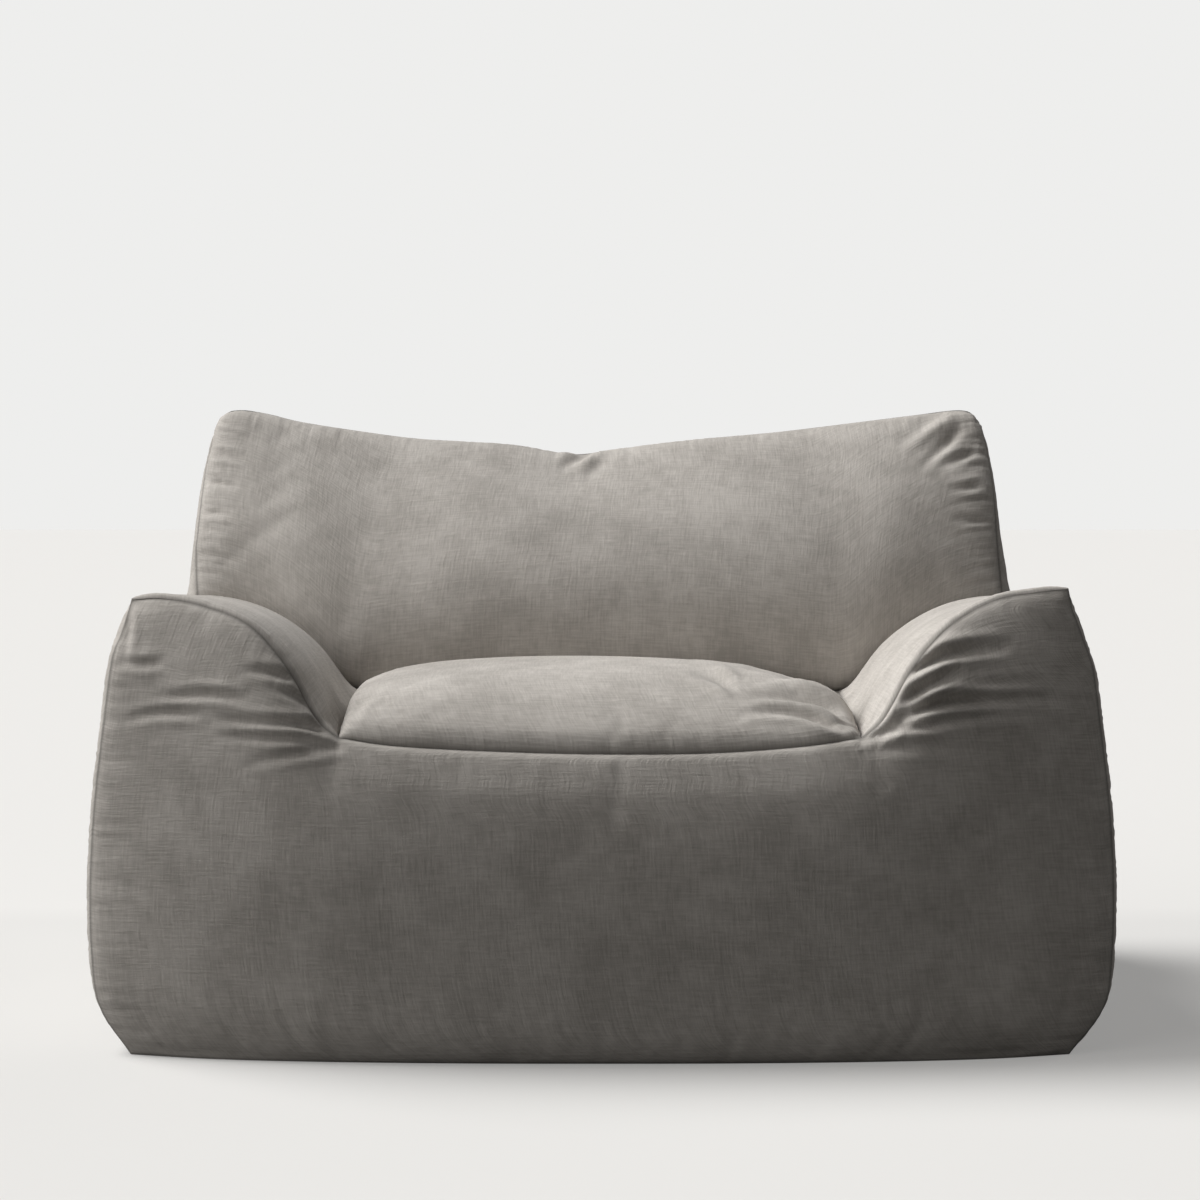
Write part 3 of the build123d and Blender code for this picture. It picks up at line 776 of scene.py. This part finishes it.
def brushed(name, color, roughness, metallic):
    """Small hard parts: fine scratches and uneven polish."""
    mat, shader = new_material(name, color, roughness, metallic)
    place = add_node(mat, "ShaderNodeTexCoord").outputs["Object"]
    scaled = add_node(mat, "ShaderNodeMapping", {"Vector": place, "Scale": (300, 2500, 2500)})
    marks = add_node(mat, "ShaderNodeTexNoise", {"Vector": scaled.outputs[0], "Scale": 1.0, "Detail": 3.0})
    polish = add_node(mat, "ShaderNodeMapRange", {0: marks.outputs["Fac"], 3: roughness - 0.1,
                                                  4: roughness + 0.15})
    mat.node_tree.links.new(polish.outputs[0], shader.inputs["Roughness"])
    tint = add_node(mat, "ShaderNodeMix", {0: marks.outputs["Fac"], 6: tuple(0.75 * c for c in color) + (1,),
                                           7: tuple(1.2 * c for c in color) + (1,)}, data_type="RGBA")
    mat.node_tree.links.new(tint.outputs[2], shader.inputs["Base Color"])
    bump = add_node(mat, "ShaderNodeBump", {"Height": marks.outputs["Fac"], "Strength": 0.15,
                                            "Distance": 0.0002})
    mat.node_tree.links.new(bump.outputs[0], shader.inputs["Normal"])
    return mat


COVER = fabric("cover_fabric", (0.405, 0.381, 0.354), (0.585, 0.555, 0.521), 0.12)
TAPE = fabric("zip_tape", (0.17, 0.16, 0.15), (0.24, 0.23, 0.215), 0.1)
LABEL = fabric("label_fabric", (0.72, 0.71, 0.69), (0.84, 0.83, 0.81), 0.1, 0.6)
LINER = fabric("liner_fabric", (0.70, 0.69, 0.67), (0.82, 0.81, 0.79), 0.1)
COIL = brushed("zip_coil", (0.05, 0.048, 0.045), 0.5, 0.0)
METAL = brushed("zip_metal", (0.34, 0.33, 0.32), 0.3, 1.0)


# ---------------------------------------------------------------- cover
def pull_to_zip(rear):
    """The rear wall lies flat on the zip along its length."""
    level = np.exp(-((rear[..., 2] - ZIP_LEVEL) / 0.09) ** 2)
    inside = np.clip((0.56 - np.abs(rear[..., 0])) / 0.09, 0, 1)
    hold = level * inside ** 2 * (3 - 2 * inside)
    rear[..., 1] += (REAR - rear[..., 1]) * hold


ZIP_MOUTH = 0.0035        # from the middle of the zip to either edge of the cloth
HEM = 0.0018              # depth of the edge turned in there


def split_at_zip(grid, flip):
    """Lower and upper rear panel, parted along the zip with a turned edge."""
    row = int(np.argmin(np.abs(grid[:, grid.shape[1] // 2, 2] - ZIP_LEVEL)))
    across = np.abs(grid[row, :, 0])
    open_width = np.clip((ZIP_HIGH[0] + 0.016 - across) / 0.014, 0.08, 1)
    inside = np.clip((across[0] - across) / 0.10, 0, 1)
    level = grid[row, :, 2] + (ZIP_LEVEL - grid[row, :, 2]) * inside ** 2 * (3 - 2 * inside)
    parts = []
    for sign, rows in ((-1, grid[:row + 1]), (1, grid[row:])):
        part = rows.copy()
        edge = part[-1].copy() if sign < 0 else part[0].copy()
        target = edge.copy()
        target[:, 2] = level + sign * ZIP_MOUTH * open_width
        fade = np.exp(-np.abs(part[..., 2] - edge[:, 2]) / 0.02)[..., None]
        part = part + (target - edge)[None] * fade
        hem = target.copy()
        hem[:, 1] -= HEM
        lip = np.stack([target + (hem - target) * t for t in (0.35, 1.0)])
        part = np.concatenate([part, lip]) if sign < 0 else np.concatenate([lip[::-1], part])
        parts.append((part, flip))
    return parts


patches = build_patches()
pull_to_zip(patches["rear"][0])
points, faces, numbers = weld(patches)
points = settle(points, faces, numbers)
REPLACED = {
    "front": ["front_panel"], "rear_lower": ["rear_lower_panel"], "rear_upper": ["rear_upper_panel"],
    "left_side": ["left_side_panel"], "right_side": ["right_side_panel"],
    "left_inner_arm": ["left_inner_arm_panel"], "right_inner_arm": ["right_inner_arm_panel"],
    "backrest": ["backrest_panel"], "seat": ["seat_panel"], "base": ["base_panel"],
}


def cover_piece(name, grid, flip):
    piece = grid_object(f"cover_{name}", grid, flip)
    piece.data.materials.append(COVER)
    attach(piece, "chair")
    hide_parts(*REPLACED[name])


for name, (_, flip) in patches.items():
    grid = refined(points[numbers[name]], 1 if name == "base" else REFINE)
    grid = detailed(name, grid, flip)
    if name == "rear":
        pull_to_zip(grid)
        lower, upper = split_at_zip(grid, flip)
        cover_piece("rear_lower", *lower)
        cover_piece("rear_upper", *upper)
    else:
        cover_piece(name, grid, flip)


# ---------------------------------------------------------------- inner bags
COVER_TREE = BVHTree.FromPolygons([tuple(p) for p in points], [tuple(f) for f in faces])
BAG_MARGIN = 0.014        # a bag stays at least this far inside the cover
BAG_DEPTHS = (-0.45, -0.36, -0.08, 0.06)      # front to back, and the top of the base bag there
BAG_TOPS = (SEAT_SEAM - 0.02, SEAT_SEAM + 0.05, SEAT_SEAM + 0.05, SEAT_SEAM)


def kept_inside(spot):
    """The point itself, or the nearest place well inside the cover."""
    near, normal, _, _ = COVER_TREE.find_nearest(spot)
    if (near - spot).dot(normal) < BAG_MARGIN:
        return near - normal * BAG_MARGIN
    return spot


BAG_VOXEL = 0.016


def inner_bag(name, nodes, shrink):
    """Loose lining of a bead bag, made from its CAD body, a little smaller and creased."""
    source = bpy.data.objects[nodes[0]]
    bag = bpy.data.objects.new(name, source.data.copy())
    bpy.context.scene.collection.objects.link(bag)
    bag.data.materials.clear()
    remesh = bag.modifiers.new("remesh", "REMESH")
    remesh.mode = "VOXEL"
    remesh.voxel_size = BAG_VOXEL
    smooth = bag.modifiers.new("smooth", "SMOOTH")
    smooth.iterations = 8
    shrunk = bag.modifiers.new("shrink", "DISPLACE")
    shrunk.strength = -shrink
    shrunk.mid_level = 0
    final = bpy.data.meshes.new_from_object(bag.evaluated_get(bpy.context.evaluated_depsgraph_get()))
    bag.modifiers.clear()
    bag.data = final
    spots = np.zeros(len(final.vertices) * 3)
    final.vertices.foreach_get("co", spots)
    spots = spots.reshape(-1, 3)
    normals = np.zeros(len(final.vertices) * 3)
    final.vertices.foreach_get("normal", normals)
    creased = 0.003 * lumps(spots * 3.1) + 0.002 * lumps(spots * 6.3)
    spots = spots + normals.reshape(-1, 3) * creased[:, None]
    if name == "base_bag":
        spots[:, 2] = np.minimum(spots[:, 2], np.interp(spots[:, 1], BAG_DEPTHS, BAG_TOPS))
    spots = np.array([kept_inside(Vector(spot)) for spot in spots])
    final.vertices.foreach_set("co", spots.reshape(-1))
    final.polygons.foreach_set("use_smooth", [True] * len(final.polygons))
    final.materials.append(LINER)
    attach(bag, "chair")
    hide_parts(*nodes)


for part, shrink in (("base", 0.030), ("backrest", 0.030), ("left_arm", 0.026), ("right_arm", 0.026)):
    inner_bag(f"{part}_bag", [f"{part}_liner", f"{part}_fill", f"{part}_liner_zip"], shrink)


# ---------------------------------------------------------------- zip and label
def box_corners(low, high):
    return [(x, y, z) for z in (low[2], high[2]) for y in (low[1], high[1]) for x in (low[0], high[0])]


BOX_FACES = [(0, 2, 3, 1), (4, 5, 7, 6), (0, 1, 5, 4), (2, 6, 7, 3), (0, 4, 6, 2), (1, 3, 7, 5)]
TOOTH_PITCH = 0.0030
TOOTH_HALF = 0.0006       # half a tooth along the zip
TOOTH_PAST = 0.0004       # a tooth reaches this far past the middle
CORD_START = 0.0012       # the cord that carries the teeth starts this far from the middle


def coil_teeth(node, shift):
    """Row of zip teeth in place of the plain coil; the two rows interlock."""
    low, high = (np.array(c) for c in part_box(node))
    up = 1 if low[2] > ZIP_LEVEL else -1
    outer = high[2] if up > 0 else low[2]
    corners = []
    quads = []
    for k in range(int((high[0] - low[0]) / TOOTH_PITCH) - 1):
        x = low[0] + TOOTH_PITCH * (k + 0.5) + shift
        start = len(corners)
        z = sorted((ZIP_LEVEL - up * TOOTH_PAST, outer))
        corners += box_corners((x - TOOTH_HALF, low[1], z[0]), (x + TOOTH_HALF, high[1], z[1]))
        quads += [[start + i for i in face] for face in BOX_FACES]
    cord = len(corners)
    z = sorted((ZIP_LEVEL + up * CORD_START, outer))
    corners += box_corners((low[0], low[1] + 0.0003, z[0]), (high[0], high[1] - 0.0005, z[1]))
    quads += [[cord + i for i in face] for face in BOX_FACES]
    teeth = new_object(node.replace("coil", "teeth"), corners, quads)
    teeth.data.materials.append(COIL)
    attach(teeth, "chair")
    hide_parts(node)


coil_teeth("zip_upper_coil", 0.0)
coil_teeth("zip_lower_coil", TOOTH_PITCH / 2)
for node, mat in (("zip_upper_tape", TAPE), ("zip_lower_tape", TAPE), ("zip_left_stop", METAL),
                  ("zip_right_stop", METAL), ("zip_slider", METAL), ("zip_pull_tab", METAL)):
    obj = bpy.data.objects[node]
    obj.data.materials.clear()
    obj.data.materials.append(mat)

label_low, label_high = (np.array(c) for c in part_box("care_label"))
LABEL_ROWS = 12
LABEL_COLS = 18
label = np.zeros((LABEL_ROWS, LABEL_COLS, 3))
label[..., 0] = np.linspace(label_low[0], label_high[0], LABEL_COLS)[None, :]
label[..., 2] = np.linspace(label_low[2], label_high[2], LABEL_ROWS)[:, None]
curl = 1 - np.linspace(0, 1, LABEL_ROWS)[:, None]
wave = np.sin(np.linspace(0, 7, LABEL_COLS))[None, :]
label[..., 1] = label_high[1] + 0.004 * curl ** 2 + 0.0008 * wave * curl
label_piece = grid_object("label_tag", label, True)
label_piece.data.materials.append(LABEL)
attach(label_piece, "chair")
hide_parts("care_label")


# ---------------------------------------------------------------- stage, light, camera
def add_sun(name, energy, place, color, spread):
    """Soft sun shining from this direction; spread is its angle in degrees."""
    data = bpy.data.lights.new(name, "SUN")
    data.energy = energy
    data.color = color
    data.angle = math.radians(spread)
    obj = bpy.data.objects.new(name, data)
    bpy.context.scene.collection.objects.link(obj)
    obj.location = place
    x, y, z = place
    obj.rotation_euler = (math.atan2(math.hypot(x, y), z), 0, math.atan2(-y, -x) - math.pi / 2)


FAR_GAIN = 1.07           # the far floor is this much lighter, to meet the backdrop
FLOOR_GLOW = 0.45         # lifts the floor's own shadow, seen by the camera only


def stage_paint(name, shown, bounced):
    """Pale studio floor, plainer to the light that bounces from it than to the viewer."""
    mat, shader = new_material(name, shown, 0.9)
    shader.inputs["Specular IOR Level"].default_value = 0.1
    place = add_node(mat, "ShaderNodeTexCoord").outputs["Object"]
    back = add_node(mat, "ShaderNodeSeparateXYZ", {0: place}).outputs["Y"]
    soft = add_node(mat, "ShaderNodeMapRange", {0: back, 1: 0.70, 2: 0.86, 3: 1.0, 4: FAR_GAIN}).outputs[0]
    tint = add_node(mat, "ShaderNodeVectorMath", {0: shown, "Scale": soft}, operation="SCALE").outputs[0]
    ray = add_node(mat, "ShaderNodeLightPath").outputs["Is Camera Ray"]
    mix = add_node(mat, "ShaderNodeMix", {0: ray, 6: (*bounced, 1), 7: tint}, data_type="RGBA")
    mat.node_tree.links.new(mix.outputs[2], shader.inputs["Base Color"])
    shader.inputs["Emission Color"].default_value = (*shown, 1)
    glow = add_node(mat, "ShaderNodeMath", {0: ray, 1: FLOOR_GLOW}, operation="MULTIPLY").outputs[0]
    mat.node_tree.links.new(glow, shader.inputs["Emission Strength"])
    return mat


FLOOR_EDGE = 40
FLOOR_LEVEL = -0.0005
floor = new_object("floor", [(x * FLOOR_EDGE, y * FLOOR_EDGE, FLOOR_LEVEL)
                             for x, y in ((-1, -1), (1, -1), (1, 1), (-1, 1))], [(0, 1, 2, 3)])
floor.data.materials.append(stage_paint("floor_paint", (0.540, 0.536, 0.527), (0.05, 0.049, 0.047)))

world = bpy.data.worlds.new("studio")
bpy.context.scene.world = world
world.use_nodes = True
nodes = world.node_tree.nodes
links = world.node_tree.links
backdrop = nodes.new("ShaderNodeBackground")
backdrop.inputs["Color"].default_value = (0.855, 0.855, 0.845, 1)
fill = nodes["Background"]
fill.inputs["Color"].default_value = (1.0, 0.99, 0.97, 1)
fill.inputs["Strength"].default_value = 0.05
path = nodes.new("ShaderNodeLightPath")
mix = nodes.new("ShaderNodeMixShader")
links.new(path.outputs["Is Camera Ray"], mix.inputs["Fac"])
links.new(fill.outputs[0], mix.inputs[1])
links.new(backdrop.outputs[0], mix.inputs[2])
links.new(mix.outputs[0], nodes["World Output"].inputs["Surface"])

add_sun("key", 3.5, (-0.60, 0.20, 0.80), (1.0, 0.99, 0.975), 38)
add_sun("fill", 1.35, (-0.88, -0.42, 0.22), (1.0, 0.98, 0.95), 60)
add_sun("rim", 0.5, (0.90, 0.30, 0.30), (1.0, 0.98, 0.96), 50)

camera_data = bpy.data.cameras.new("camera")
camera_data.lens = EYE_LENS
camera_data.sensor_width = 36
camera = bpy.data.objects.new("camera", camera_data)
bpy.context.scene.collection.objects.link(camera)
camera.location = tuple(EYE)
camera.rotation_euler = (math.pi / 2 - EYE_TILT, 0, 0)
bpy.context.scene.camera = camera
bpy.context.scene.view_settings.view_transform = "Standard"
